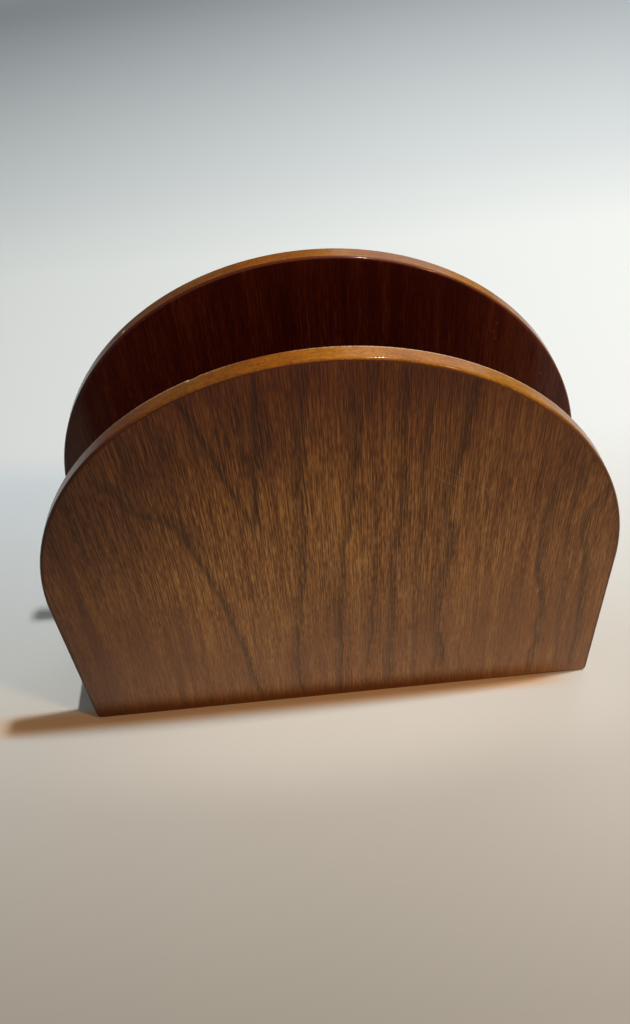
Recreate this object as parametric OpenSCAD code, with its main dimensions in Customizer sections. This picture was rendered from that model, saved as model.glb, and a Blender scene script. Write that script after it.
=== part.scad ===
// Napkin holder: two upright arched plywood panels, glued to the long faces of a solid base block.
// It stands on z = 0, centred on x = 0 and y = 0. The front panel is on the -y side.

/* [Panels] */
// Width of a panel at its foot
panel_w = 165.1; // [120:0.1:220]
// Height of a panel at its crown
panel_h = 136; // [110:0.5:170]
// Angle by which each straight side leans in from the foot, in degrees
side_lean = 2.4; // [0:0.1:6]
// Radius of the two bottom corners of a panel and of the block's ends
foot_r = 1.6; // [0.4:0.1:4]

/* [Plies] */
// Thickness of each face veneer
veneer_t = 0.7; // [0.6:0.05:1.5]
// Thickness of the core ply between the two face veneers
core_t = 3.36; // [2:0.02:9]

/* [Base block] */
// Depth of the block, which is also the width of the napkin slot
block_d = 38.1; // [20:0.1:80]
// Height of the block
block_h = 19.05; // [8:0.05:40]

/* [Hidden] */
// How far a cutting shape runs past the solid that it cuts
overrun = 1;
// Segments in a full turn of an arc
$fn = 240;
walnut_colour = [0.40, 0.27, 0.18];
core_colour = [0.72, 0.46, 0.20];
block_colour = [0.36, 0.22, 0.14];

// The outline is one arc over the crown, which runs at a tangent into a straight side at
// each spring point. The points here are those to the right of x = 0.
foot = [panel_w / 2, 0];
side_out = [cos(side_lean), sin(side_lean)];
crown_r = (foot * side_out - panel_h * sin(side_lean)) / (1 - sin(side_lean));
crown_c = [0, panel_h - crown_r];
spring = crown_c + crown_r * side_out;
// The bottom corner's arc touches the straight side and the underside
corner_c = foot - foot_r * [(1 + sin(side_lean)) / cos(side_lean), -1];

// What the rounding takes off the right-hand bottom corner
module corner_waste() {
    difference() {
        polygon([
            corner_c,
            corner_c - [0, foot_r + overrun],
            foot + [overrun, -overrun],
            corner_c + (foot_r + overrun) * side_out
        ]);
        translate(corner_c) circle(foot_r);
    }
}

// The outline of a panel, drawn flat with its foot on y = 0
module outline() {
    difference() {
        union() {
            intersection() {
                translate(crown_c) circle(crown_r);
                translate([-crown_r, spring[1]]) square([2 * crown_r, crown_r]);
            }
            polygon([[-foot[0], 0], foot, spring, [-spring[0], spring[1]]]);
        }
        for (side = [0, 1]) mirror([side, 0]) corner_waste();
    }
}

// Stands a flat ply up across the part, so that its underside faces the back at this y
module stand_at(y) {
    translate([0, y, 0]) rotate([90, 0, 0]) children();
}

// The plies of a panel on the -y side, from the slot outwards
module inner_veneer() {
    stand_at(-block_d / 2) linear_extrude(veneer_t) outline();
}

module core() {
    stand_at(-block_d / 2 - veneer_t) linear_extrude(core_t) outline();
}

module outer_veneer() {
    stand_at(-block_d / 2 - veneer_t - core_t) linear_extrude(veneer_t) outline();
}

module front_outer_veneer() {
    color(walnut_colour) outer_veneer();
}

module front_core() {
    color(core_colour) core();
}

module front_inner_veneer() {
    color(walnut_colour) inner_veneer();
}

module back_inner_veneer() {
    color(walnut_colour) mirror([0, 1, 0]) inner_veneer();
}

module back_core() {
    color(core_colour) mirror([0, 1, 0]) core();
}

module back_outer_veneer() {
    color(walnut_colour) mirror([0, 1, 0]) outer_veneer();
}

// The block is sanded flush with the panels, so its ends follow their outline
module base_block() {
    color(block_colour)
        stand_at(block_d / 2)
            linear_extrude(block_d)
                intersection() {
                    outline();
                    translate([-panel_w, -overrun]) square([2 * panel_w, block_h + overrun]);
                }
}

front_outer_veneer();
front_core();
front_inner_veneer();
back_inner_veneer();
back_core();
back_outer_veneer();
base_block();
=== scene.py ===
# %% [markdown]
# # A napkin holder in lacquered veneer plywood
# The real object is two upright arched panels, glued to the long sides of a solid base block,
# with an open slot between them for folded napkins. Each panel is a three-ply sandwich: a thin
# walnut veneer on both faces and a lighter core, which shows as an amber band round the edge.
# This file dresses the CAD frame: it keeps every size, and adds what CAD leaves out, which is
# eased edges, wood grain, lacquer and wear, with some light and shade painted into the colours.
# All lengths are written in millimetres.

# %% Load the frame
import bpy
import math
from mathutils import Matrix, Vector


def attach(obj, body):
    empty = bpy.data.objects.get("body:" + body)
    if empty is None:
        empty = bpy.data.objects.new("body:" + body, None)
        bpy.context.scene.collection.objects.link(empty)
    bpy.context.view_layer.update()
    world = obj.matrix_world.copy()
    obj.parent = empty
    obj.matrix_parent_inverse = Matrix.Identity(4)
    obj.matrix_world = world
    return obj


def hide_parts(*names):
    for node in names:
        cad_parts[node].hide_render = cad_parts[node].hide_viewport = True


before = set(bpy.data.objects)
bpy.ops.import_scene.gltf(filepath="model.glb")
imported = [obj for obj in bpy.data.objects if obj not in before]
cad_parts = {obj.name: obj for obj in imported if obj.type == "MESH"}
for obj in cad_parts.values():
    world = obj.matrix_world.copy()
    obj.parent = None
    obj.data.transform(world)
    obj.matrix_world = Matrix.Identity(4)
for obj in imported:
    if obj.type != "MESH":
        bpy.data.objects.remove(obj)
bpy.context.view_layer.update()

MM = 0.001

# %% [markdown]
# ## The camera
# The view is close to the object and from above, so its verticals lean together. It could be
# matched by eye, but the panel's corners and arcs are enough to work it out: the eye stands
# 159 mm in front of the middle and 232 mm up, looks 46 degrees down, and is turned a little
# clockwise. A matrix is built from those angles, because a track-to constraint can't hold the turn.

# %% The camera, 159 mm in front and 232 mm up
EYE = Vector((-4.08, -158.82, 232.04)) * MM
YAW, PITCH, ROLL = 0.00603, 0.81121, 0.09425  # turned to the right, down and clockwise, in radians
FOCAL_LENGTH, FRAME_HEIGHT = 775, 1024  # in pixels of the picture
SENSOR_HEIGHT = 36

ahead = Vector((math.sin(YAW) * math.cos(PITCH), math.cos(YAW) * math.cos(PITCH), -math.sin(PITCH)))
level = Vector((math.cos(YAW), -math.sin(YAW), 0))
below = ahead.cross(level)
right = level * math.cos(ROLL) + below * math.sin(ROLL)
down = below * math.cos(ROLL) - level * math.sin(ROLL)

camera_data = bpy.data.cameras.new("camera")
camera_data.sensor_fit = "VERTICAL"
camera_data.sensor_height = SENSOR_HEIGHT
camera_data.lens = FOCAL_LENGTH / FRAME_HEIGHT * SENSOR_HEIGHT
camera_data.clip_start = 10 * MM
camera = bpy.data.objects.new("camera", camera_data)
camera.matrix_world = Matrix.Translation(EYE) @ Matrix((right, -down, -ahead)).transposed().to_4x4()
bpy.context.collection.objects.link(camera)
bpy.context.scene.camera = camera
bpy.context.scene.view_settings.view_transform = "Standard"
print("lens", round(camera_data.lens, 2), "mm, looking down", round(math.degrees(PITCH), 1), "degrees")

# %% [markdown]
# ## Helpers
# Every tree below, for shape or for finish, is made of nodes and links. One helper adds a node,
# sets it up and feeds its inputs. Another turns a colour as it is written on paper, in sRGB,
# into the linear numbers that the renderer works with. A third lays such colours on a ramp.
# The settings that come back often are written down once, so that each step stays short. A
# Math node adds unless it is told otherwise. The numbers of a Map Range node always stand in one
# order: its low and high, and then what they become, where that isn't 0 and 1.

# %% Add a node, turn a colour, paint a ramp
def add(tree, kind, *values, feed=None, **settings):
    """Adds a node, sets it up, and feeds its inputs, by place or by name, with values, sockets or nodes."""
    node = tree.nodes.new(kind)
    for name, value in settings.items():
        setattr(node, name, value)
    for key, value in [*enumerate(values), *(feed or {}).items()]:
        if isinstance(value, bpy.types.Node):
            value = next(s for s in value.outputs if s.enabled)
        if isinstance(value, bpy.types.NodeSocket):
            tree.links.new(value, node.inputs[key])
        else:
            node.inputs[key].default_value = value
    return node


def linear(code):
    """A colour such as #7a4a2a in linear light, with full alpha."""
    parts = [int(code[i : i + 2], 16) / 255 for i in (1, 3, 5)]
    return (*[c / 12.92 if c <= 0.04045 else ((c + 0.055) / 1.055) ** 2.4 for c in parts], 1.0)


def paint_ramp(ramp, colours):
    """Paints a ramp with a colour for each place on it; 0 and 1 are always among them."""
    stops = ramp.color_ramp.elements
    stops[0].color = linear(colours[0])
    stops[1].color = linear(colours[1])
    for place, code in colours.items():
        if 0 < place < 1:
            stops.new(place).color = linear(code)


print("#808080 is", round(linear("#808080")[0], 3), "in linear light")

# %% Settings and stretches that come back often
SMOOTH = {"interpolation_type": "SMOOTHSTEP"}  # a Map Range that eases in and out
NUMBERS = {"data_type": "FLOAT"}  # a Mix of two numbers
IF, FALSE, TRUE = 0, 2, 3  # where its inputs stand
COLOURS = {"data_type": "RGBA"}  # a Mix that lays one colour over another
TINT = {"data_type": "RGBA", "blend_type": "MULTIPLY"}  # a Mix that tints one colour with another
AMOUNT, UNDER, OVER = 0, 6, 7  # where the inputs of both stand
ACROSS = (-60.0, 60.0)  # the tints that change from left to right are spread over this stretch
print("a Mix of colours reads its inputs", AMOUNT, UNDER, "and", OVER)

# %% [markdown]
# ## The plies
# A panel's outline is one arc over the crown that runs into two straight sides, which lean in
# by 2.4 degrees. It could be drawn point by point, but there is a rule in it: it is a tall slim
# triangle whose three corners are rounded, the top one by 80 mm and the feet by 1.6 mm. The
# Fillet Curve node does exactly that.
#
# Round that outline goes the section of the ply's edge, as a moulding goes round a frame. The
# section is a bracket of four points. Rounding one of its corners eases that arris, as
# sandpaper does, and the light catches it. The flat faces then fill the two open sides.
#
# A knock left a nick in one arris. It could be cut out with a Boolean, but the points of the
# arris only need to give way a little, as wood fibres do under a blow, and the mesh stays closed.

# %% Sizes of the panels, from the same named values as the CAD source
FOOT_WIDTH, CROWN_HEIGHT, LEAN, FOOT_RADIUS = 165.1, 136.0, math.radians(2.4), 1.6
VENEER, CORE, SLOT = 0.7, 3.36, 38.1
ARRIS = 0.6  # radius of the sanded edge on both faces of a panel
LIP = 1.2  # width of the flat rim that the swept edge lays on each face
CROWN_POINTS, FOOT_POINTS, ARRIS_POINTS = 960, 12, 7  # points round each of these bends
MERGE = 0.002  # points closer than this become one
SHARP = math.radians(40)  # a bend sharper than this stays crisp

half_width = FOOT_WIDTH / 2 * math.cos(LEAN) - CROWN_HEIGHT * math.sin(LEAN)
CROWN_RADIUS = half_width / (1 - math.sin(LEAN))
crown_middle = CROWN_HEIGHT - CROWN_RADIUS
NICK_ACROSS = -26.9  # where a knock left a hollow in the front panel's slot arris
NICK_UP = crown_middle + math.sqrt(CROWN_RADIUS**2 - NICK_ACROSS**2)
NICK_REACH = (1.7, 0.62, 0.8)  # across, into the panel and down
NICK_IN = 0.1  # its middle lies this far in from the arris
NICK_PUSH = (0.8, 0.6)  # how much of the push goes down, and into the panel
print("crown radius", round(CROWN_RADIUS, 2), "mm, nick", round(NICK_UP, 1), "mm up")

# %% Geometry Nodes: the inputs of a ply
tree = bpy.data.node_groups.new("ply with eased edge", "GeometryNodeTree")
tree.interface.new_socket(name="Geometry", in_out="OUTPUT", socket_type="NodeSocketGeometry")
for name, kind, value in (
    ("Foot width", "Float", FOOT_WIDTH * MM),
    ("Crown radius", "Float", CROWN_RADIUS * MM),
    ("Side lean", "Float", LEAN),
    ("Foot radius", "Float", FOOT_RADIUS * MM),
    ("Slot side", "Float", -SLOT / 2 * MM),
    ("Outer side", "Float", -(SLOT / 2 + VENEER) * MM),
    ("Slot arris", "Float", 0.0),
    ("Outer arris", "Float", 0.0),
    ("Turn", "Float", 0.0),
    ("Nick depth", "Float", 0.0),
    ("Nick place", "Vector", (NICK_ACROSS * MM, -(SLOT / 2 + NICK_IN) * MM, (NICK_UP - NICK_IN) * MM)),
    ("Finish", "Material", None),
):
    socket = tree.interface.new_socket(name=name, in_out="INPUT", socket_type="NodeSocket" + kind)
    if value is not None:
        socket.default_value = value
size = add(tree, "NodeGroupInput").outputs
print("a ply is made from", [socket.name for socket in size if socket.name])

# %% Geometry Nodes: the outline, a triangle with rounded corners
half_foot = add(tree, "ShaderNodeMath", size["Foot width"], 2.0, operation="DIVIDE")
slope = add(tree, "ShaderNodeMath", size["Side lean"], operation="TANGENT")
peak = add(tree, "ShaderNodeMath", half_foot, slope, operation="DIVIDE")
right_foot = add(tree, "ShaderNodeCombineXYZ", half_foot)
top = add(tree, "ShaderNodeCombineXYZ", 0.0, peak)
left_foot = add(tree, "ShaderNodeVectorMath", right_foot, (-1, 1, 1), operation="MULTIPLY")

corner = add(tree, "GeometryNodeInputIndex")
corner_place = add(tree, "GeometryNodeIndexSwitch", data_type="VECTOR")
corner_radius = add(tree, "GeometryNodeIndexSwitch", data_type="FLOAT")
corner_points = add(tree, "GeometryNodeIndexSwitch", data_type="INT")
for switch, choices in (
    (corner_place, (right_foot.outputs[0], top.outputs[0], left_foot.outputs[0])),
    (corner_radius, (size["Foot radius"], size["Crown radius"], size["Foot radius"])),
    (corner_points, (FOOT_POINTS, CROWN_POINTS, FOOT_POINTS)),
):
    switch.index_switch_items.new()
    tree.links.new(corner.outputs[0], switch.inputs["Index"])
    for place, choice in enumerate(choices, 1):
        if isinstance(choice, int):
            switch.inputs[place].default_value = choice
        else:
            tree.links.new(choice, switch.inputs[place])

triangle = add(tree, "GeometryNodeCurvePrimitiveCircle", 3, mode="RADIUS")
triangle = add(tree, "GeometryNodeSetPosition", triangle, feed={"Position": corner_place})
fillet = {"Count": corner_points, "Radius": corner_radius}
outline = add(tree, "GeometryNodeFilletCurve", triangle, mode="POLY", feed=fillet)
print("the outline takes", len(tree.nodes), "nodes")

# %% Geometry Nodes: the section of the edge, swept round the outline
section = add(tree, "GeometryNodeMeshLine", 4)
section = add(tree, "GeometryNodeMeshToCurve", section)
section_place = add(tree, "GeometryNodeIndexSwitch", data_type="VECTOR")
section_radius = add(tree, "GeometryNodeIndexSwitch", data_type="FLOAT")
for switch in (section_place, section_radius):
    for _ in range(2):
        switch.index_switch_items.new()
    tree.links.new(corner.outputs[0], switch.inputs["Index"])
section_corners = (
    (-LIP * MM, size["Slot side"], None),
    (0.0, size["Slot side"], size["Slot arris"]),
    (0.0, size["Outer side"], size["Outer arris"]),
    (-LIP * MM, size["Outer side"], None),
)
for place, (inset, side, arris) in enumerate(section_corners, 1):
    point = add(tree, "ShaderNodeCombineXYZ", inset, side)
    tree.links.new(point.outputs[0], section_place.inputs[place])
    if arris:
        tree.links.new(arris, section_radius.inputs[place])
section = add(tree, "GeometryNodeSetPosition", section, feed={"Position": section_place})
fillet = {"Count": ARRIS_POINTS, "Radius": section_radius}
section = add(tree, "GeometryNodeFilletCurve", section, mode="POLY", feed=fillet)
edge = add(tree, "GeometryNodeCurveToMesh", outline, section)
edge = add(tree, "GeometryNodeFlipFaces", edge)  # the sweep comes out with its faces inward
print("the edge has", len(section_corners), "corners in section")

# %% Geometry Nodes: fill the two faces
rim_edges = add(tree, "GeometryNodeInputMeshEdgeNeighbors")
one_face = {2: rim_edges, 3: 1}  # a rim edge has one face; 2 and 3 are where the whole numbers go
rim_edges = add(tree, "FunctionNodeCompare", data_type="INT", operation="EQUAL", feed=one_face)
place = add(tree, "ShaderNodeSeparateXYZ", add(tree, "GeometryNodeInputPosition"))
middle = add(tree, "ShaderNodeMath", size["Slot side"], size["Outer side"])
middle = add(tree, "ShaderNodeMath", middle, -0.5, operation="MULTIPLY")
faces = []
for name, operation in (("Slot side", "LESS_THAN"), ("Outer side", "GREATER_THAN")):
    this_side = add(tree, "ShaderNodeMath", place.outputs["Z"], middle, operation=operation)
    rim = add(tree, "FunctionNodeBooleanMath", rim_edges, this_side, operation="AND")
    loop = add(tree, "GeometryNodeMeshToCurve", edge, rim)
    face = add(tree, "GeometryNodeFillCurve", loop, mode="NGONS")
    depth = add(tree, "ShaderNodeMath", size[name], -1.0, operation="MULTIPLY")
    lift = add(tree, "ShaderNodeCombineXYZ", 0.0, 0.0, depth)
    faces.append(add(tree, "GeometryNodeTransform", face, feed={"Translation": lift}))
faces[0] = add(tree, "GeometryNodeFlipFaces", faces[0])

ply = add(tree, "GeometryNodeJoinGeometry", faces[0])
tree.links.new(faces[1].outputs[0], ply.inputs[0])
tree.links.new(edge.outputs[0], ply.inputs[0])
ply = add(tree, "GeometryNodeMergeByDistance", ply, feed={"Distance": MERGE * MM})
print("a ply is its edge and", len(faces), "faces, merged")

# %% Geometry Nodes: stand the ply up, dent the nick and give the ply its finish
bend = add(tree, "GeometryNodeInputMeshEdgeAngle").outputs["Unsigned Angle"]
sharp = add(tree, "ShaderNodeMath", bend, SHARP, operation="GREATER_THAN")
ply = add(tree, "GeometryNodeSetShadeSmooth", ply, domain="FACE", feed={"Shade Smooth": True})
ply = add(tree, "GeometryNodeSetShadeSmooth", ply, sharp, domain="EDGE", feed={"Shade Smooth": False})
stand = add(tree, "ShaderNodeCombineXYZ", math.pi / 2, 0.0, size["Turn"])
ply = add(tree, "GeometryNodeTransform", ply, feed={"Rotation": stand})

# The nick is a hollow 3.4 mm long, whose points give way down and into the panel
tilt = math.asin(NICK_ACROSS / CROWN_RADIUS)
off = add(tree, "GeometryNodeInputPosition")
off = add(tree, "ShaderNodeVectorMath", off, size["Nick place"], operation="SUBTRACT")
off = add(tree, "ShaderNodeVectorRotate", off, rotation_type="Y_AXIS", feed={"Angle": -tilt})
stretch = [1 / (r * MM) for r in NICK_REACH]
off = add(tree, "ShaderNodeVectorMath", off, stretch, operation="MULTIPLY")
off = add(tree, "ShaderNodeVectorMath", off, operation="LENGTH").outputs["Value"]
hollow = add(tree, "ShaderNodeMapRange", off, 0.1, 1.0, size["Nick depth"], 0.0, **SMOOTH)
push_down, push_in = NICK_PUSH
inward = (-push_down * math.sin(tilt), -push_in, -push_down * math.cos(tilt))
inward = add(tree, "ShaderNodeVectorMath", inward, operation="SCALE", feed={"Scale": hollow})
ply = add(tree, "GeometryNodeSetPosition", ply, feed={"Offset": inward})
ply = add(tree, "GeometryNodeRealizeInstances", ply)
ply = add(tree, "GeometryNodeSetMaterial", ply, feed={"Material": size["Finish"]})
add(tree, "NodeGroupOutput", ply)
ply_tree = tree
print("ply tree:", len(ply_tree.nodes), "nodes")

# %% [markdown]
# ## What the finishes are made of
# The faces are sliced walnut veneer under satin lacquer: brown, with dark growth lines, fine
# pores that run up the panel, and a slow drift between golden and rosy brown. The slot leaves
# are painted redder and darker than the face, as painted shade for the deep slot. The core shows
# warm amber at the edge. The block is solid.
#
# Wood could be drawn by one noise pattern. Here the growth lines of the front face are laid
# as a veneer leaf shows them, each along its own path, since they are what the eye knows this
# face by. The pores, bands and drifts are noise, scaled in millimetres.
#
# What several finishes share is made first, as small groups: a growth line, the distance from
# the outline, a soft spot, a scratch, and the amber of the sanded edge.

# %% Two starts, for a group and for a finish, and a measure that several use
def start_group(name, gives, takes):
    """Starts a shader group with these sockets, and returns it with what it is given."""
    group = bpy.data.node_groups.new(name, "ShaderNodeTree")
    for in_out, sockets in (("OUTPUT", gives), ("INPUT", takes)):
        for title, kind in sockets.items():
            group.interface.new_socket(name=title, in_out=in_out, socket_type="NodeSocket" + kind)
    return group, add(group, "NodeGroupInput").outputs


def start_finish(name):
    """Starts a material, and returns it with its tree and with the place on the object in mm."""
    material = bpy.data.materials.new(name)
    material.use_nodes = True
    tree = material.node_tree
    tree.nodes.clear()
    place = add(tree, "ShaderNodeTexCoord").outputs["Object"]
    return material, tree, add(tree, "ShaderNodeVectorMath", place, operation="SCALE", feed={"Scale": 1 / MM})


def distance_from(tree, middle, across):
    """How far a place is from this middle, to either side."""
    offset = add(tree, "ShaderNodeMath", across, -middle)
    return add(tree, "ShaderNodeMath", offset, operation="ABSOLUTE")


print("a finish reads its place in steps of", MM, "m")

# %% One growth line, as a group
SHADE_DARK, NARROW_DARK = 0.74, 0.12  # how dark are the soft shade and the narrow line in its middle
NARROW_REACH = (0.1, 2.0)
FADE = 9.0  # length over which a line fades in and out
tree, given = start_group(
    "growth line",
    {"Dark": "Float"},
    dict.fromkeys(("Across", "Up", "Path", "Left", "Right", "From", "To", "Depth"), "Float"),
)
offset = add(tree, "ShaderNodeMath", given["Across"], given["Path"], operation="SUBTRACT")
distance = add(tree, "ShaderNodeMath", offset, operation="ABSOLUTE")
to_right = add(tree, "ShaderNodeMath", offset, 0.0, operation="GREATER_THAN")
sides = {IF: to_right, FALSE: given["Left"], TRUE: given["Right"]}
reach = add(tree, "ShaderNodeMix", feed=sides, **NUMBERS)
shade = add(tree, "ShaderNodeMapRange", distance, 0.0, reach.outputs[0], SHADE_DARK, 0.0, **SMOOTH)
narrow = add(tree, "ShaderNodeMapRange", distance, *NARROW_REACH, NARROW_DARK, 0.0, **SMOOTH)
dark = add(tree, "ShaderNodeMath", shade, narrow)
for end, inward in (("From", FADE), ("To", -FADE)):
    full = add(tree, "ShaderNodeMath", given[end], inward)
    fade = add(tree, "ShaderNodeMapRange", given["Up"], given[end], full, **SMOOTH)
    dark = add(tree, "ShaderNodeMath", dark, fade, operation="MULTIPLY")
dark = add(tree, "ShaderNodeMath", dark, given["Depth"], operation="MULTIPLY")
add(tree, "NodeGroupOutput", dark)
line_tree = tree
print("growth line:", len(tree.nodes), "nodes")

# %% The paths of the growth lines on the front face
# Each is: shade to the left, shade to the right, depth, and points (up, across), all in mm
FRONT_LINES = (
    (1.3, 2.6, 0.75, ((5, -26.8), (12, -28), (20, -28.4), (30, -28.7), (40, -29.8), (50, -30.9),
        (58, -32.1), (69, -34), (77, -35.9), (88, -39))),
    (2.2, 8.0, 0.7, ((78, -36), (84, -37.5), (88, -38.7), (92, -42.5), (95, -46.9), (103, -51.2),
        (108, -56))),
    (1.3, 1.6, 0.85, ((84, -19.4), (95, -21.6), (103, -24), (113, -26.2), (124, -29.4), (132, -31.8))),
    (2.2, 1.0, 0.85, ((84, -19.2), (94, -17.6), (102, -16.9), (113, -15.4), (123, -14.2), (132, -13.2))),
    (4.5, 0.9, 0.6, ((4, -12.7), (18, -12.7), (27, -12.6), (36, -11.5), (45, -10.2), (54, -9.3), (63, -8.4),
        (72, -7.5), (78, -6.6), (94, -5.9), (107, -5), (125, -3), (136, -2.5))),
    (3.6, 0.9, 0.65, ((0, 0.6), (20, 1), (36, 1.6), (50, 1.9), (60, 2.8), (67, 3.1), (75, 3.9), (80, 5.3),
        (88, 6.1), (99, 6.9), (110, 8.1), (126, 8.8))),
    (1.8, 0.8, 0.45, ((2, 8.5), (11, 8.7), (21, 9.1), (32, 10.3), (41, 10.9), (54, 11.6), (67, 11.9),
        (80, 12.5), (100, 13.5))),
    (2.6, 1.4, 0.55, ((4, 15.8), (18, 15.9), (25, 16.2), (35, 16.6), (55, 16.9), (66, 17.5), (77, 18.2),
        (88, 19.4), (97, 19.7), (107, 19), (134, 19.6))),
    (1.6, 1.6, 0.45, ((6, 24), (21, 23.7), (36, 23.2), (50, 23), (64, 23.1), (74, 23.9), (82, 25.1),
        (90, 24.4), (100, 24), (113, 24.7), (130, 26.4))),
    (4.5, 0.9, 0.7, ((11, 33.4), (21, 33.1), (27, 31.9), (31, 31.2), (45, 30.8), (50, 31.2), (60, 32.1),
        (69, 32.5), (75, 33), (80, 32.3), (85, 31.2), (91, 31.2), (97, 31.9), (102, 32.8), (110, 33.7),
        (130, 36))),
    (1.0, 3.4, 0.7, ((2, 62.4), (10, 61.9), (15, 61.6), (20, 62.5), (28, 61.6), (40, 61.6), (45, 60.6),
        (49, 60), (54, 58.4), (60, 57.5), (69, 57.1), (75, 56.6), (84, 56.9), (92, 57.8))),
    (0.9, 3.6, 0.6, ((4, 75.5), (17, 75), (27, 74.7), (35, 73.7), (42, 72.8), (49, 72.2), (55, 71.2),
        (61, 70.6), (67, 68.9), (74, 68.1), (80, 68.4), (83, 69.4), (88, 71.4), (96, 74))),
    (1.0, 1.6, 0.45, ((38, 66.3), (52, 66.6), (60, 65.6), (69, 64.4), (78, 63.7), (85, 64.4), (104, 66.4))),
    (1.0, 2.2, 0.35, ((0, 71.2), (14, 70.3), (19, 69.7), (25, 68.7), (42, 67.4))),
)
TALLEST, WIDEST = 140, 180  # the box that the curves of the paths are drawn in
PAST_END = 4  # a line runs this far past its first and last points


def lay_growth_lines(tree, across, up, paths):
    """Draws the growth lines and returns how dark they make this place."""
    height = add(tree, "ShaderNodeMath", up, float(TALLEST), operation="DIVIDE")
    darkest = 0.0
    for left, right_side, depth, points in paths:
        path = add(tree, "ShaderNodeFloatCurve", feed={"Value": height})
        curve = path.mapping.curves[0]
        first, *between, last = [(z / TALLEST, x / WIDEST + 0.5) for z, x in points]
        curve.points[0].location = first
        curve.points[1].location = last
        for point in between:
            curve.points.new(*point)
        path.mapping.extend = "HORIZONTAL"
        path.mapping.update()
        place = add(tree, "ShaderNodeMath", path, float(WIDEST), -WIDEST / 2, operation="MULTIPLY_ADD")
        reach, ends = (left, right_side), (points[0][0] - PAST_END, points[-1][0] + PAST_END)
        line = add(tree, "ShaderNodeGroup", across, up, place, *reach, *ends, depth, node_tree=line_tree)
        darkest = add(tree, "ShaderNodeMath", line, darkest, operation="MAXIMUM")
    return darkest


print(len(FRONT_LINES), "growth lines on the front face")

# %% How far a place lies in from the panel's outline, as a group
tree, given = start_group(
    "inset from the outline", {"Inset": "Float"}, {"Across": "Float", "Up": "Float"}
)
from_middle = add(tree, "ShaderNodeMath", given["Up"], crown_middle, operation="SUBTRACT")
spoke = add(tree, "ShaderNodeCombineXYZ", given["Across"], from_middle)
spoke = add(tree, "ShaderNodeVectorMath", spoke, operation="LENGTH").outputs["Value"]
from_crown = add(tree, "ShaderNodeMath", CROWN_RADIUS, spoke, operation="SUBTRACT")
across = add(tree, "ShaderNodeMath", given["Across"], operation="ABSOLUTE")
leaning = add(tree, "ShaderNodeMath", given["Up"], math.tan(LEAN), across, operation="MULTIPLY_ADD")
from_side = add(tree, "ShaderNodeMath", FOOT_WIDTH / 2, leaning, operation="SUBTRACT")
from_foot = add(tree, "ShaderNodeMath", from_side, given["Up"], operation="MINIMUM")
spring_height = crown_middle + CROWN_RADIUS * math.sin(LEAN)
is_crown = add(tree, "ShaderNodeMath", given["Up"], spring_height, operation="GREATER_THAN")
inset = add(tree, "ShaderNodeMix", feed={IF: is_crown, FALSE: from_foot, TRUE: from_crown}, **NUMBERS)
add(tree, "NodeGroupOutput", inset)
inset_tree = tree
print("the crown's arc ends", round(spring_height, 1), "mm up")

# %% One soft spot, as a group: its tone in its middle and 0 at its rim
tree, given = start_group(
    "soft spot",
    {"Amount": "Float"},
    {"Place": "Vector", "Middle": "Vector", "Reach": "Vector", "Tone": "Float"},
)
offset = add(tree, "ShaderNodeVectorMath", given["Place"], given["Middle"], operation="SUBTRACT")
offset = add(tree, "ShaderNodeVectorMath", offset, given["Reach"], operation="DIVIDE")
offset = add(tree, "ShaderNodeVectorMath", offset, operation="LENGTH").outputs["Value"]
spot = add(tree, "ShaderNodeMapRange", offset, 0.15, 1.0, given["Tone"], 0.0, **SMOOTH)
add(tree, "NodeGroupOutput", spot)
spot_tree = tree
print("soft spot:", len(tree.nodes), "nodes")

# %% One scratch, as a group: 1 along its middle
SCRATCH_EDGES = (0.05, 0.3)  # how far from its middle line it is full, and gone
tree, given = start_group(
    "scratch", {"Amount": "Float"}, dict.fromkeys(("Place", "Start", "End"), "Vector")
)
run = add(tree, "ShaderNodeVectorMath", given["End"], given["Start"], operation="SUBTRACT")
offset = add(tree, "ShaderNodeVectorMath", given["Place"], given["Start"], operation="SUBTRACT")
along = add(tree, "ShaderNodeVectorMath", offset, run, operation="DOT_PRODUCT").outputs["Value"]
whole = add(tree, "ShaderNodeVectorMath", run, run, operation="DOT_PRODUCT").outputs["Value"]
share = add(tree, "ShaderNodeMath", along, whole, operation="DIVIDE", use_clamp=True)
nearest = add(tree, "ShaderNodeVectorMath", run, operation="SCALE", feed={"Scale": share})
distance = add(tree, "ShaderNodeVectorMath", offset, nearest, operation="DISTANCE").outputs["Value"]
scratch = add(tree, "ShaderNodeMapRange", distance, *SCRATCH_EDGES, 1.0, 0.0)
add(tree, "NodeGroupOutput", scratch)
scratch_tree = tree
print("scratch:", len(tree.nodes), "nodes")

# %% [markdown]
# ## The sanded edge
# Round its edge the panel shows bare wood under the lacquer: a warm amber with short fibres
# and fine specks. A pale line along the slot-side arris of the front panel is a painted
# highlight. One plain amber would look like plastic, so three sizes of noise are added up, and
# a ramp from left to right tints the sum: painted shade on its left half, away from the lamp,
# and painted sheen right of the crown.

# %% Numbers and tones of the sanded edge
# Each layer of specks is: size along x, y and z in mm, detail, roughness
EDGE_SPECKS = (((4, 0.6, 1.2), 2.0, 0.6), ((0.7, 0.7, 0.7), 1.0, 0.6), ((9, 6, 9), 2.0, 0.5))
AMBER = {0: "#8e4a03", 1: "#d68910"}
# A pale line painted along the front panel's slot-side arris, as a highlight
ARRIS_HIGHLIGHT_TONE = "#e2c8a8"
ARRIS_HIGHLIGHT_REACH = (SLOT / 2 + 0.5, SLOT / 2 + 0.78)  # the painted highlight is full up to the first, and gone at the second
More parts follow.
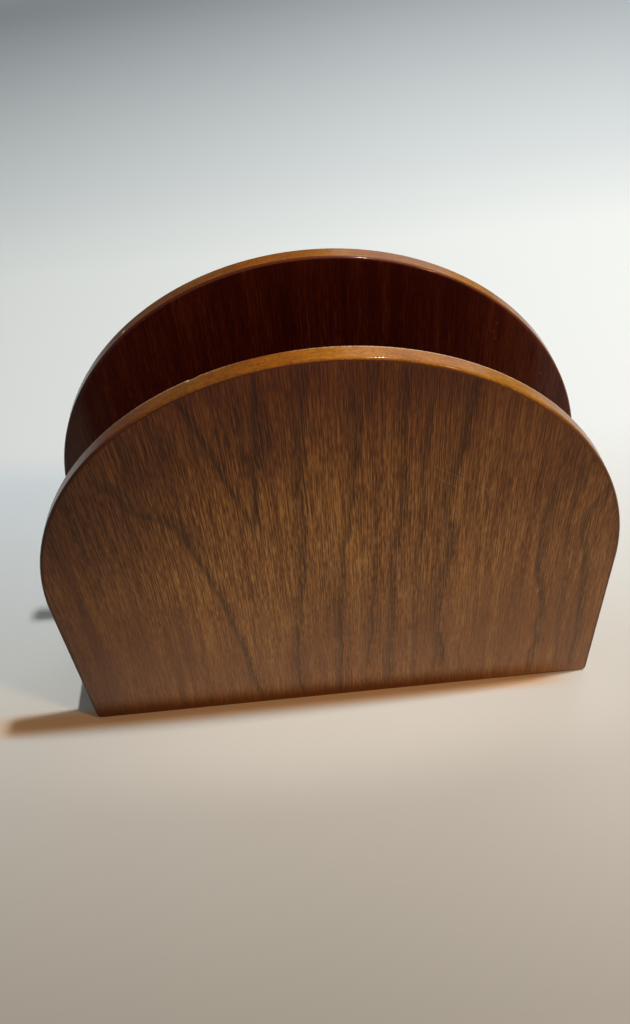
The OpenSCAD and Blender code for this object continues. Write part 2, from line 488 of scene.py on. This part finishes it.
# From left to right: darkest on the left, away from the key lamp, which is painted shade;
# lightest and a little blue just right of the crown and on the right shoulder, which is painted sheen
EDGE_SHADE_AND_SHEEN = {
    0: "#897458", 0.167: "#998a6b", 0.272: "#aaa887", 0.384: "#baae5b", 0.453: "#cac09b", 0.5: "#d6d7c4",
    0.547: "#e6eafc", 0.593: "#f4feff", 0.66: "#d8d9f8", 0.75: "#ceccdd", 0.834: "#def2ff", 1: "#bfc3d7",
}
# Each is: middle (x, y, z), reach (x, y, z), amount, tone; all lengths in mm
EDGE_MARKS = (
    ((-26.9, -19.6, 131.3), (2.6, 1.1, 1.5), 0.7, "#8a7050"),  # the nick's dull hollow
    ((-28.3, -19.7, 130.9), (0.8, 0.55, 0.6), 0.7, "#e0c6a4"),  # the pale lip at its left end
    ((16.0, 22.0, 134.0), (28.0, 6.0, 16.0), 0.45, "#7a4c24"),  # the right of the back panel's crown
    ((-49.0, 20.6, 119.3), (1.0, 0.7, 1.0), 0.8, "#e8d0b0"),  # a pale chip on the back panel
)
print(len(EDGE_MARKS), "marks on the sanded edges")

# %% The sanded edge, as a group
tree, given = start_group("sanded amber edge", {"Color": "Color"}, {"Place": "Vector"})
axes = add(tree, "ShaderNodeSeparateXYZ", given["Place"]).outputs
grit = 0.0
for sizes, detail, roughness in EDGE_SPECKS:
    stretch = [1 / s for s in sizes]
    speck_place = add(tree, "ShaderNodeVectorMath", given["Place"], stretch, operation="MULTIPLY")
    noise = {"Scale": 1.0, "Detail": detail, "Roughness": roughness}
    specks = add(tree, "ShaderNodeTexNoise", speck_place, feed=noise)
    grit = add(tree, "ShaderNodeMath", grit, specks)
grit = add(tree, "ShaderNodeMapRange", grit, 0.95, 2.05)
amber = add(tree, "ShaderNodeValToRGB", grit)
paint_ramp(amber, AMBER)
# Painted shade and sheen: this ramp darkens the left of the edge and lightens it right of the crown
along = add(tree, "ShaderNodeMapRange", axes["X"], *ACROSS)
edge_shade_and_sheen = add(tree, "ShaderNodeValToRGB", along)
paint_ramp(edge_shade_and_sheen, EDGE_SHADE_AND_SHEEN)
amber = add(tree, "ShaderNodeMix", feed={AMOUNT: 1.0, UNDER: amber, OVER: edge_shade_and_sheen}, **TINT)

# The front panel's arris on the slot side gets a painted highlight, a pale line, but for a stretch left of
# the crown
from_middle = add(tree, "ShaderNodeMath", axes["Y"], operation="ABSOLUTE")
painted_highlight = add(tree, "ShaderNodeMapRange", from_middle, *ARRIS_HIGHLIGHT_REACH, 1.0, 0.0)
highlight_right = add(tree, "ShaderNodeMapRange", axes["X"], -8.0, 8.0)
highlight_left = add(tree, "ShaderNodeMapRange", axes["X"], -12.0, -30.0, 0.0, 0.6)
highlight_here = add(tree, "ShaderNodeMath", highlight_right, highlight_left)
on_front = add(tree, "ShaderNodeMath", axes["Y"], 0.0, operation="LESS_THAN")
for share in (highlight_here, on_front):
    painted_highlight = add(tree, "ShaderNodeMath", painted_highlight, share, operation="MULTIPLY")
amber = add(tree, "ShaderNodeMix", feed={AMOUNT: painted_highlight, UNDER: amber, OVER: linear(ARRIS_HIGHLIGHT_TONE)}, **COLOURS)

for middle, reach, amount, code in EDGE_MARKS:
    mark = add(tree, "ShaderNodeGroup", given["Place"], middle, reach, amount, node_tree=spot_tree)
    amber = add(tree, "ShaderNodeMix", feed={AMOUNT: mark, UNDER: amber, OVER: linear(code)}, **COLOURS)
add(tree, "NodeGroupOutput", amber)
edge_tree = tree
print("sanded edge:", len(tree.nodes), "nodes")

# %% [markdown]
# ## Walnut veneer
# Close to, a leaf of veneer is thousands of fine dark pores, drawn out along the fibres; from
# further off it is growth lines, bands and slow drifts of tone. Then comes painted shade on its
# crown, left edge and foot, and what has happened to it since: it was scratched, and sandpaper
# reached the stain at its arris, where painted shade darkens the band it left.

# %% The grain's sizes, and the spots and scratches on the faces
# The fibres draw together a little towards the crown: TAPER for each mm across and up, least
# at HEART mm across, and easing off to nothing TAPER_END mm up
TAPER, HEART, TAPER_END = 0.0012, 14, 260
# Each layer of pores is: width, length, share, layer of the noise; sizes in mm
PORES = ((0.34, 26, 0.75, 0), (0.30, 8, 0.9, 3), (0.27, 2.8, 0.75, 6))
# Each is: width, length, change of tone, layer of the noise; sizes in mm
BANDS_AND_DRIFTS = ((3.4, 80, 0.18, 9), (26, 34, 0.06, 15))
PORES_MIDDLE, RUBBED_MIDDLE = -8.0, 8.0  # across: where the pores show most, and where bare wood does
# Each is: middle (across, up), reach (across, up), change of tone; all lengths in mm
FRONT_SPOTS = (
    ((4, 75), (9, 34), 0.08), ((-2, 86), (24, 40), 0.08), ((-56, 98), (30, 36), -0.28),
    ((-42, 65), (11, 14), 0.10), ((-13.5, 27), (4, 6), -0.10), ((22.5, 35.6), (2, 4), -0.14),
    ((43.5, 36), (4, 9), -0.10), ((55.6, 11), (2, 3), -0.14), ((28.5, 7), (1.6, 2.4), -0.14),
    ((59.7, 47.5), (1.3, 1.8), 0.25), ((66, 98), (14, 16), -0.14), ((80, 74), (10, 26), -0.12),
    ((50, 30), (10, 48), -0.08), ((-38, 114), (16, 14), -0.17), ((-18, 114), (14, 16), -0.14),
)
SLOT_FLECKS = ((50.9, 111.7), (50.1, 109.2), (50.9, 106.9), (65.6, 93.3))
SLOT_SPOTS = [(middle, (0.45, 0.45), 1.6) for middle in SLOT_FLECKS]
SLOT_SPOTS += [((66, 92), (44, 60), 0.17), ((-78, 80), (24, 40), 0.17)]
# Each is: from (across, up), to (across, up)
FRONT_SCRATCHES = (((32.5, 99), (40.6, 91.7)), ((26.6, 101.7), (40, 92)), ((29, 96.5), (33.5, 93)))
print(len(FRONT_SPOTS), "spots on the front face,", len(SLOT_SPOTS), "in the slot")


# %% The grain of a leaf: pores, bands and drifts
def lay_strokes(tree, grain_place, wide, tall, layer, shift, detail):
    """Noise drawn out along the fibres into strokes of this width and length."""
    stretch, start = (1 / wide, 0, 1 / tall), (shift, layer, shift)
    place = add(tree, "ShaderNodeVectorMath", grain_place, stretch, start, operation="MULTIPLY_ADD")
    return add(tree, "ShaderNodeTexNoise", place, feed={"Scale": 1.0, "Detail": detail})


def lay_grain(tree, axes, shift, pore_depth):
    """Draws the grain, and returns its pores and the tone that it gives, both about 0.5."""
    taper = add(tree, "ShaderNodeMath", axes["Z"], -1 / TAPER_END, 1.0, operation="MULTIPLY_ADD")
    taper = add(tree, "ShaderNodeMath", taper, axes["Z"], operation="MULTIPLY")
    lean = add(tree, "ShaderNodeMath", axes["X"], TAPER, -HEART * TAPER, operation="MULTIPLY_ADD")
    across = add(tree, "ShaderNodeMath", taper, lean, axes["X"], operation="MULTIPLY_ADD")
    grain_place = add(tree, "ShaderNodeCombineXYZ", across, 0.0, axes["Z"])

    # Pores run up the face as fine dark strokes, 0.3 mm wide, of three lengths
    pores = 0.5
    for wide, tall, share, layer in PORES:
        stroke = lay_strokes(tree, grain_place, wide, tall, layer, shift, 0.0)
        stroke = add(tree, "ShaderNodeMath", stroke, 0.5, operation="SUBTRACT")
        pores = add(tree, "ShaderNodeMath", stroke, share, pores, operation="MULTIPLY_ADD")

    # They show most in the upper middle of the leaf
    depth = add(tree, "ShaderNodeMapRange", axes["Z"], 25.0, 78.0, 0.42 * pore_depth, pore_depth, **SMOOTH)
    outward = distance_from(tree, PORES_MIDDLE, axes["X"])
    near_sides = add(tree, "ShaderNodeMapRange", outward, 20.0, 64.0, 1.0, 0.7)
    near_crown = add(tree, "ShaderNodeMapRange", axes["Z"], 100.0, 130.0, 1.08, 0.8)
    for share in (near_sides, near_crown):
        depth = add(tree, "ShaderNodeMath", depth, share, operation="MULTIPLY")
    strokes = add(tree, "ShaderNodeMapRange", pores, 0.2, 0.8, -1.0, 1.0)
    tone = add(tree, "ShaderNodeMath", strokes, depth, 0.5, operation="MULTIPLY_ADD")
    for wide, tall, change, layer in BANDS_AND_DRIFTS:
        strokes = lay_strokes(tree, grain_place, wide, tall, layer, shift, 2.0)
        strokes = add(tree, "ShaderNodeMapRange", strokes, 0.25, 0.75, -change, change)
        tone = add(tree, "ShaderNodeMath", strokes, tone)
    return pores, tone


print("the grain has", len(PORES) + len(BANDS_AND_DRIFTS), "layers")


# %% Painted shade on a leaf: darker at the crown, the left edge and the foot
# Painted shade: the crown and the left edge get less light than the rest of the face, and the foot faces the
# floor in shadow
LEFT_SHADE, FOOT_SHADE = "#b7a570", "#b48718"


def paint_shade_on_leaf(tree, axes, colour, crown_shade):
    """Paints shade on the crown, the left edge and the left of the foot: darker and warmer where less light
    falls on the face.
    """
    crown = add(tree, "ShaderNodeMapRange", axes["Z"], 50.0, 128.0)
    crown = add(tree, "ShaderNodeMath", crown, 2.0, operation="POWER")
    left = add(tree, "ShaderNodeMapRange", axes["X"], -15.0, -80.0, 0.0, 1.17)
    left = add(tree, "ShaderNodeMath", left, 2.6, operation="POWER")
    rise = add(tree, "ShaderNodeMapRange", axes["Z"], 0.0, 45.0, 0.6, 1.0)
    left = add(tree, "ShaderNodeMath", left, rise, operation="MULTIPLY")
    foot = add(tree, "ShaderNodeMapRange", axes["Z"], 11.0, 2.0, **SMOOTH)
    leftward = add(tree, "ShaderNodeMapRange", axes["X"], 30.0, 85.0, 1.0, 0.0)
    foot = add(tree, "ShaderNodeMath", foot, leftward, operation="MULTIPLY")
    for painted_shade, tint in ((crown, crown_shade), (left, LEFT_SHADE), (foot, FOOT_SHADE)):
        colour = add(tree, "ShaderNodeMix", feed={AMOUNT: painted_shade, UNDER: colour, OVER: linear(tint)}, **TINT)
    return colour


print("age tints the left edge", LEFT_SHADE, "and the foot", FOOT_SHADE)

# %% What has happened to a leaf: fine scratches in the lacquer, which show pale
SCRATCH_TONE, SCRATCH_AMOUNT = "#c09a6c", 0.14


def scratch_leaf(tree, flat_place, colour, scratches):
    """Draws the scratches over the colour of the leaf."""
    for (x0, z0), (x1, z1) in scratches:
        ends = (x0, 0, z0), (x1, 0, z1)
        scratch = add(tree, "ShaderNodeGroup", flat_place, *ends, node_tree=scratch_tree)
        scratch = add(tree, "ShaderNodeMath", scratch, SCRATCH_AMOUNT, operation="MULTIPLY")
        pale = {AMOUNT: scratch, UNDER: colour, OVER: linear(SCRATCH_TONE)}
        colour = add(tree, "ShaderNodeMix", feed=pale, **COLOURS)
    return colour


print(len(FRONT_SCRATCHES), "scratches on the front face")

# %% What has happened to a leaf: sandpaper at the arris, and painted shade in its band
# From left to right, the stain where the sandpaper scorched it, darker to the left as painted shade
SCORCHED_AND_SHADED = {0: "#3a1800", 0.167: "#4c1800", 0.5: "#682800", 0.833: "#743a06", 0.93: "#7a4010", 1: "#663a10"}


def sand_arris(tree, place, axes, colour, pores, sanded):
    """Sands through the stain at the arris, sanded mm in: to burnt orange, darker on the rounding and to the
    left as painted shade, and round the crown to amber.
    """
    inset = add(tree, "ShaderNodeGroup", axes["X"], axes["Z"], node_tree=inset_tree)
    ragged = add(tree, "ShaderNodeMath", pores, 0.4, inset, operation="MULTIPLY_ADD")
    along = add(tree, "ShaderNodeMapRange", axes["X"], *ACROSS)
    stain = add(tree, "ShaderNodeValToRGB", along)
    paint_ramp(stain, SCORCHED_AND_SHADED)
    # Painted shade: the burnt orange band is partly the thinned stain and partly the shade on the arris's
    # rounding
    scorched_and_shaded = add(tree, "ShaderNodeMapRange", ragged, sanded + 0.15, sanded + 0.65, 1.0, 0.0, **SMOOTH)
    colour = add(tree, "ShaderNodeMix", feed={AMOUNT: scorched_and_shaded, UNDER: colour, OVER: stain}, **COLOURS)

    bare = add(tree, "ShaderNodeMapRange", ragged, sanded - 0.2, sanded + 0.15, 1.0, 0.0, **SMOOTH)
    outward = distance_from(tree, RUBBED_MIDDLE, axes["X"])
    round_crown = add(tree, "ShaderNodeMapRange", outward, 44.0, 68.0, 1.0, 0.0, **SMOOTH)
    bare = add(tree, "ShaderNodeMath", bare, round_crown, operation="MULTIPLY")
    # The knock that made the nick took the stain off as well
    below_nick = (NICK_ACROSS, -SLOT / 2, NICK_UP - 0.3)
    knock = add(tree, "ShaderNodeGroup", place, below_nick, (2.3, 1.4, 1.3), 2.0, node_tree=spot_tree)
    bare = add(tree, "ShaderNodeMath", bare, knock, use_clamp=True)
    amber = add(tree, "ShaderNodeGroup", place, node_tree=edge_tree)
    return add(tree, "ShaderNodeMix", feed={AMOUNT: bare, UNDER: colour, OVER: amber}, **COLOURS)


print("the scorched stain runs from", SCORCHED_AND_SHADED[0], "to", SCORCHED_AND_SHADED[1])

# %% A leaf of veneer, from all of these
SATIN = {"Specular IOR Level": 0.1, "Coat Weight": 0.4, "Coat Roughness": 0.13}  # lacquer, rubbed down
GROWTH_LINE = "#4c2f08"
PORE_RELIEF = 0.04


def walnut_veneer(name, shift, sanded, tones, crown_shade, pore_depth, spots=(), scratches=(), paths=()):
    """Walnut face veneer. shift moves the noise, so that no two leaves are alike, and the
    sandpaper reached sanded mm in from the arris."""
    leaf, tree, place = start_finish(name)
    axes = add(tree, "ShaderNodeSeparateXYZ", place).outputs
    flat_place = add(tree, "ShaderNodeCombineXYZ", axes["X"], 0.0, axes["Z"])
    pores, tone = lay_grain(tree, axes, shift, pore_depth)
    for (across, up), (wide, tall), change in spots:
        middle, reach = (across, 0, up), (wide, 1, tall)
        spot = add(tree, "ShaderNodeGroup", flat_place, middle, reach, change, node_tree=spot_tree)
        tone = add(tree, "ShaderNodeMath", spot, tone)
    colour = add(tree, "ShaderNodeValToRGB", tone)
    paint_ramp(colour, tones)
    if paths:
        # The growth lines are soft, and feathered by the pores that crowd in them
        feather = add(tree, "ShaderNodeMath", pores, 0.5, operation="SUBTRACT")
        feather = add(tree, "ShaderNodeMath", feather, 1.1, axes["X"], operation="MULTIPLY_ADD")
        lines = lay_growth_lines(tree, feather, axes["Z"], paths)
        crowd = add(tree, "ShaderNodeMapRange", pores, 0.36, 0.64, 1.3, 0.8)
        lines = add(tree, "ShaderNodeMath", lines, crowd, operation="MULTIPLY", use_clamp=True)
        darker = {AMOUNT: lines, UNDER: colour, OVER: linear(GROWTH_LINE)}
        colour = add(tree, "ShaderNodeMix", feed=darker, **COLOURS)
    colour = paint_shade_on_leaf(tree, axes, colour, crown_shade)
    colour = scratch_leaf(tree, flat_place, colour, scratches)
    colour = sand_arris(tree, place, axes, colour, pores, sanded)

    rough = add(tree, "ShaderNodeMapRange", pores, 0.3, 0.7, 0.52, 0.4)
    dent = add(tree, "ShaderNodeBump", feed={"Strength": 0.3, "Distance": PORE_RELIEF * MM, "Height": pores})
    look = {"Base Color": colour, "Roughness": rough, "Normal": dent, **SATIN}
    add(tree, "ShaderNodeOutputMaterial", add(tree, "ShaderNodeBsdfPrincipled", feed=look))
    print(name, len(tree.nodes), "nodes")
    return leaf


# %% The four leaves
FACE = {"tones": {0: "#583104", 0.5: "#915c2a", 1: "#c7904b"}, "crown_shade": "#ae8648", "pore_depth": 0.40}
# Painted shade: the slot leaves are the face walnut painted darker and redder, for the dim deep slot
IN_SLOT_SHADED = {"tones": {0: "#2a0802", 0.5: "#541908", 1: "#80401a"}, "crown_shade": "#e0d0d0", "pore_depth": 0.24}
# The leaf on the back was sliced after the one on the front and turned over, as a book page is
BACK_LINES = [
    (right_side, left, depth, [(z, -x) for z, x in points]) for left, right_side, depth, points in FRONT_LINES
]
BACK_SPOTS = [((-across, up), reach, change) for (across, up), reach, change in FRONT_SPOTS]
walnut_front = walnut_veneer(
    "walnut veneer, front leaf, satin lacquer", 0.0, 0.65, **FACE,
    spots=FRONT_SPOTS, scratches=FRONT_SCRATCHES, paths=FRONT_LINES,
)
walnut_back = walnut_veneer(
    "walnut veneer, back leaf, satin lacquer", 17.3, 0.2, **FACE, spots=BACK_SPOTS, paths=BACK_LINES
)
# The sandpaper took more off the front panel's slot leaf than off the one that faces it
front_slot = walnut_veneer("walnut veneer, red stained front slot leaf, satin lacquer", 63.1, 0.3, **IN_SLOT_SHADED)
back_slot = walnut_veneer(
    "walnut veneer, red stained back slot leaf, satin lacquer", 41.9, 0.05, **IN_SLOT_SHADED, spots=SLOT_SPOTS
)

# %% [markdown]
# ## The core and the block
# The core shows only where the panel's edge was sanded, so its finish is the sanded edge and
# nothing more. The block is cut from solid walnut, with its length along the slot: its ends
# show growth rings round a pith that lies below it, and its top shows them cut lengthwise.
# Rings are drawn as the distance from that pith, so both sides of the block agree.

# %% The core: amber wood, seen at the edge
core_wood, tree, place = start_finish("amber core ply, sanded edge, satin lacquer")
amber = add(tree, "ShaderNodeGroup", place, node_tree=edge_tree)
look = {"Base Color": amber, "Roughness": 0.4, **SATIN}
add(tree, "ShaderNodeOutputMaterial", add(tree, "ShaderNodeBsdfPrincipled", feed=look))
print(core_wood.name, len(tree.nodes), "nodes")

# %% The block: solid walnut, whose growth rings run round a pith below it
PITH = (0, 11, -48)  # where the pith lies, in mm across the slot and up
RING = 2.6  # width of a ring
SWAY = 5.0  # how far the rings stray from true circles
GLUE, GLUE_REACH = "#2a1408", (SLOT / 2 - 0.35, SLOT / 2 - 0.1)  # none at the first, full at the second
PORE = (9, 0.32, 0.32)  # along the block, across and up
block_wood, tree, place = start_finish("solid walnut block, satin lacquer")
sway = add(tree, "ShaderNodeVectorMath", place, (1 / 90, 1 / 16, 1 / 16), operation="MULTIPLY")
sway = add(tree, "ShaderNodeTexNoise", sway, feed={"Scale": 1.0, "Detail": 2.0})
from_pith = add(tree, "ShaderNodeVectorMath", place, (0, 1, 1), [-p for p in PITH], operation="MULTIPLY_ADD")
from_pith = add(tree, "ShaderNodeVectorMath", from_pith, operation="LENGTH").outputs["Value"]
rings = add(tree, "ShaderNodeMath", sway, SWAY, from_pith, operation="MULTIPLY_ADD")
rings = add(tree, "ShaderNodeMath", rings, 1 / RING, operation="MULTIPLY")
rings = add(tree, "ShaderNodeMath", rings, operation="FRACT")
late_wood = add(tree, "ShaderNodeMapRange", rings, 0.3, 0.95, 0.0, 0.3, **SMOOTH)
pores = add(tree, "ShaderNodeVectorMath", place, [1 / p for p in PORE], operation="MULTIPLY")
pores = add(tree, "ShaderNodeTexNoise", pores, feed={"Scale": 1.0, "Detail": 1.0})
tone = add(tree, "ShaderNodeMapRange", pores, 0.3, 0.7, 0.25, 0.85)
tone = add(tree, "ShaderNodeMath", tone, late_wood, operation="SUBTRACT")
colour = add(tree, "ShaderNodeValToRGB", tone)
paint_ramp(colour, {0: "#432511", 1: "#83532e"})
# A hairline of dark glue where the panels meet the block
from_middle = add(tree, "ShaderNodeSeparateXYZ", place).outputs["Y"]
from_middle = add(tree, "ShaderNodeMath", from_middle, operation="ABSOLUTE")
glue = add(tree, "ShaderNodeMapRange", from_middle, *GLUE_REACH, 0.0, 0.75)
colour = add(tree, "ShaderNodeMix", feed={AMOUNT: glue, UNDER: colour, OVER: linear(GLUE)}, **COLOURS)
look = {"Base Color": colour, "Roughness": 0.45, "Specular IOR Level": 0.3}
add(tree, "ShaderNodeOutputMaterial", add(tree, "ShaderNodeBsdfPrincipled", feed=look))
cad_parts["base_block"].data.materials.clear()
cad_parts["base_block"].data.materials.append(block_wood)
print(block_wood.name, len(tree.nodes), "nodes")

# %% [markdown]
# ## Make the six plies
# Each ply gets the same tree with its own numbers. Only the two faces that a hand can touch
# have an eased arris; the glued sides stay square, so the plies meet without a gap.

# %% Make one ply and turn it into a plain mesh
def make_ply(node, slot_name, finish, inner, thickness, numbers):
    """One ply from the tree, inner mm from the middle of the slot, as a mesh that stands for its CAD node."""
    holder = bpy.data.objects.new("holder", bpy.data.meshes.new("holder"))
    bpy.context.collection.objects.link(holder)
    modifier = holder.modifiers.new("ply", "NODES")
    modifier.node_group = ply_tree
    wanted = {"Slot side": -inner * MM, "Outer side": -(inner + thickness) * MM, "Finish": finish, **numbers}
    for item in ply_tree.interface.items_tree:
        if item.in_out == "INPUT" and item.name in wanted:
            modifier[item.identifier] = wanted[item.name]
    graph = bpy.context.evaluated_depsgraph_get()
    mesh = bpy.data.meshes.new_from_object(holder.evaluated_get(graph), depsgraph=graph)
    bpy.data.objects.remove(holder)
    mesh.materials.clear()
    mesh.materials.append(finish)
    mesh.polygons.foreach_set("material_index", [0] * len(mesh.polygons))
    piece = bpy.data.objects.new(node + "_ply", mesh)
    bpy.context.collection.objects.link(piece)
    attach(piece, "root")
    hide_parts(node)
    print(piece.name, len(mesh.vertices), "points,", [round(d / MM, 2) for d in piece.dimensions], "mm")


# %% The six plies, from the slot's middle outwards on each side
EASED, NICKED, TURNED = ARRIS * MM, 0.36 * MM, math.pi
at_slot, at_core, at_face = SLOT / 2, SLOT / 2 + VENEER, SLOT / 2 + VENEER + CORE
for row in (
    ("front_outer_veneer", "walnut_veneer_face", walnut_front, at_face, VENEER, {"Outer arris": EASED}),
    ("front_core", "ply_core", core_wood, at_core, CORE, {}),
    (
        "front_inner_veneer", "walnut_veneer_slot", front_slot, at_slot, VENEER,
        {"Slot arris": EASED, "Nick depth": NICKED},
    ),
    (
        "back_inner_veneer", "walnut_veneer_slot", back_slot, at_slot, VENEER,
        {"Slot arris": EASED, "Turn": TURNED},
    ),
    ("back_core", "ply_core", core_wood, at_core, CORE, {"Turn": TURNED}),
    (
        "back_outer_veneer", "walnut_veneer_face", walnut_back, at_face, VENEER,
        {"Outer arris": EASED, "Turn": TURNED},
    ),
):
    make_ply(*row)

# %% [markdown]
# ## The floor
# The holder stands on a plain pale floor. A grey plane would do, but the real one is brightest
# some way behind the holder and dimmer close to the eye, so a ramp from front to back paints that
# pool of light and the shade before it, and a tint paints the left a little darker. The lacquered
# wood also throws a soft light on the floor before it, warm right at the foot. The lamps give
# less of it than the real room does, so the paint carries the rest.

# %% Floor
BACKDROP = "#dcdfe0"
FLOOR_REACH = 2500
FLOOR_DEPTH = (-120.0, 880.0)  # the tones are spread from before the holder to far behind it
FLOOR_PAINTED_LIGHT = {0: "#ada99f", 0.09: "#d2d0c8", 0.22: "#f0f8fa", 0.40: "#f6ffff", 0.52: "#e6f0f4", 1: "#bcc6ca"}
FAR_LEFT_SHADE = "#f4f4f4"
floor_mesh = bpy.data.meshes.new("floor")
side = FLOOR_REACH * MM
corners = [(-side, -side, 0), (side, -side, 0), (side, side, 0), (-side, side, 0)]
floor_mesh.from_pydata(corners, [], [(0, 1, 2, 3)])
floor = bpy.data.objects.new("floor", floor_mesh)
bpy.context.collection.objects.link(floor)
pale_floor, tree, place = start_finish("pale floor, matt paint")
floor_mesh.materials.append(pale_floor)
axes = add(tree, "ShaderNodeSeparateXYZ", place).outputs
# Painted light: brightest behind the holder, dimmer before it, and a little darker to the left, away from the
# lamps
back = add(tree, "ShaderNodeMapRange", axes["Y"], *FLOOR_DEPTH)
colour = add(tree, "ShaderNodeValToRGB", back)
paint_ramp(colour, FLOOR_PAINTED_LIGHT)
left = add(tree, "ShaderNodeMapRange", axes["X"], 120.0, -300.0)
colour = add(tree, "ShaderNodeMix", feed={AMOUNT: left, UNDER: colour, OVER: linear(FAR_LEFT_SHADE)}, **TINT)
print("floor", 2 * FLOOR_REACH, "mm square")

# %% What the wood throws on the floor: a soft glow, and a warm strip at the foot
WARM_STRIP = "#ffd0a1"
FRONT_EDGE, BACK_EDGE, SIDE_EDGE = (-29.8, -25.2), (-23.0, -18.5), (84.0, 104.0)
STRIP_MIDDLE = -22.0
glow = add(tree, "ShaderNodeGroup", place, (-5, -36, 0), (125, 30, 1), 0.2, node_tree=spot_tree)
glow = add(tree, "ShaderNodeMath", glow, 1.0)
colour = add(tree, "ShaderNodeVectorMath", colour, operation="SCALE", feed={"Scale": glow})
before = add(tree, "ShaderNodeMapRange", axes["Y"], *FRONT_EDGE, **SMOOTH)
behind = add(tree, "ShaderNodeMapRange", axes["Y"], *BACK_EDGE, 1.0, 0.0, **SMOOTH)
beside = distance_from(tree, STRIP_MIDDLE, axes["X"])
beside = add(tree, "ShaderNodeMapRange", beside, *SIDE_EDGE, 1.0, 0.0, **SMOOTH)
warm = add(tree, "ShaderNodeMath", before, behind, operation="MULTIPLY")
warm = add(tree, "ShaderNodeMath", warm, beside, operation="MULTIPLY")
colour = add(tree, "ShaderNodeMix", feed={AMOUNT: warm, UNDER: colour, OVER: linear(WARM_STRIP)}, **TINT)
look = {"Base Color": colour, "Roughness": 0.9, "Specular IOR Level": 0.1}
paint = add(tree, "ShaderNodeBsdfPrincipled", feed=look)
print("the warm strip is", round(BACK_EDGE[1] - FRONT_EDGE[0], 1), "mm deep")

# %% The backdrop: only the camera sees it, so it throws no light on the wood
# Far from the holder, past what the main view shows, the floor runs out into it
MIDDLE_OF_FLOOR, RUN_OUT = (0.0, 350.0, 0.0), (600.0, 1200.0)
far = add(tree, "ShaderNodeVectorMath", place, MIDDLE_OF_FLOOR, operation="DISTANCE").outputs["Value"]
far = add(tree, "ShaderNodeMapRange", far, *RUN_OUT, **SMOOTH)
seen = add(tree, "ShaderNodeLightPath").outputs["Is Camera Ray"]
far = add(tree, "ShaderNodeMath", far, seen, operation="MULTIPLY")
backdrop = add(tree, "ShaderNodeEmission", linear(BACKDROP))
add(tree, "ShaderNodeOutputMaterial", add(tree, "ShaderNodeMixShader", far, paint, backdrop))
print("pale floor:", len(tree.nodes), "nodes, gone", RUN_OUT[1], "mm out")

# %% [markdown]
# ## The light
# One lamp hangs almost overhead and a little to the right, and the rest of the room is dim. So
# the top edges and the floor are bright, the front face is lit mostly by what the floor throws
# back, and the slot stays dark. A small warm lamp stands on the right, and two weak soft boxes
# fill in from behind and from the front. A bright even room would be simpler, but it would
# flatten the wood.

# %% Lamps and room
def hang_lamp(name, toward, distance, across, watts, tint):
    """A round lamp that looks at the foot of the holder from this direction and distance."""
    data = bpy.data.lights.new(name, "AREA")
    data.shape = "DISK"
    data.size = across * MM
    data.energy = watts
    data.color = tint
    lamp = bpy.data.objects.new(name, data)
    lamp.location = Vector(toward).normalized() * distance * MM
    lamp.rotation_euler = Vector(toward).to_track_quat("Z", "Y").to_euler()
    bpy.context.collection.objects.link(lamp)
    print(name, watts, "W,", distance, "mm away")


WHITE, WARM, SOFT_WARM = (1.0, 1.0, 1.0), (1.0, 0.64, 0.34), (1.0, 0.94, 0.86)
hang_lamp("key lamp, overhead", (0.378, 0.010, 1.10), 1170, 50, 8.0, WHITE)
hang_lamp("warm lamp, right", (0.62, -0.33, 0.71), 1000, 100, 2.5, WARM)
hang_lamp("soft box, back right", (0.44, 0.72, 0.50), 1300, 900, 2.2, WHITE)
hang_lamp("soft box, front", (-0.15, -0.92, 0.30), 1400, 1200, 1.8, SOFT_WARM)

ROOM_LIGHT, ROOM_STRENGTH = (0.95, 0.97, 1.0, 1.0), 0.15
world = bpy.data.worlds.new("dim room")
world.use_nodes = True
tree = world.node_tree
tree.nodes.clear()
seen = add(tree, "ShaderNodeLightPath").outputs["Is Camera Ray"]
room_light = add(tree, "ShaderNodeBackground", ROOM_LIGHT, ROOM_STRENGTH)
backdrop = add(tree, "ShaderNodeBackground", linear(BACKDROP), 1.0)
add(tree, "ShaderNodeOutputWorld", add(tree, "ShaderNodeMixShader", seen, room_light, backdrop))
bpy.context.scene.world = world
print("the room gives", ROOM_STRENGTH, "of a full white sky")
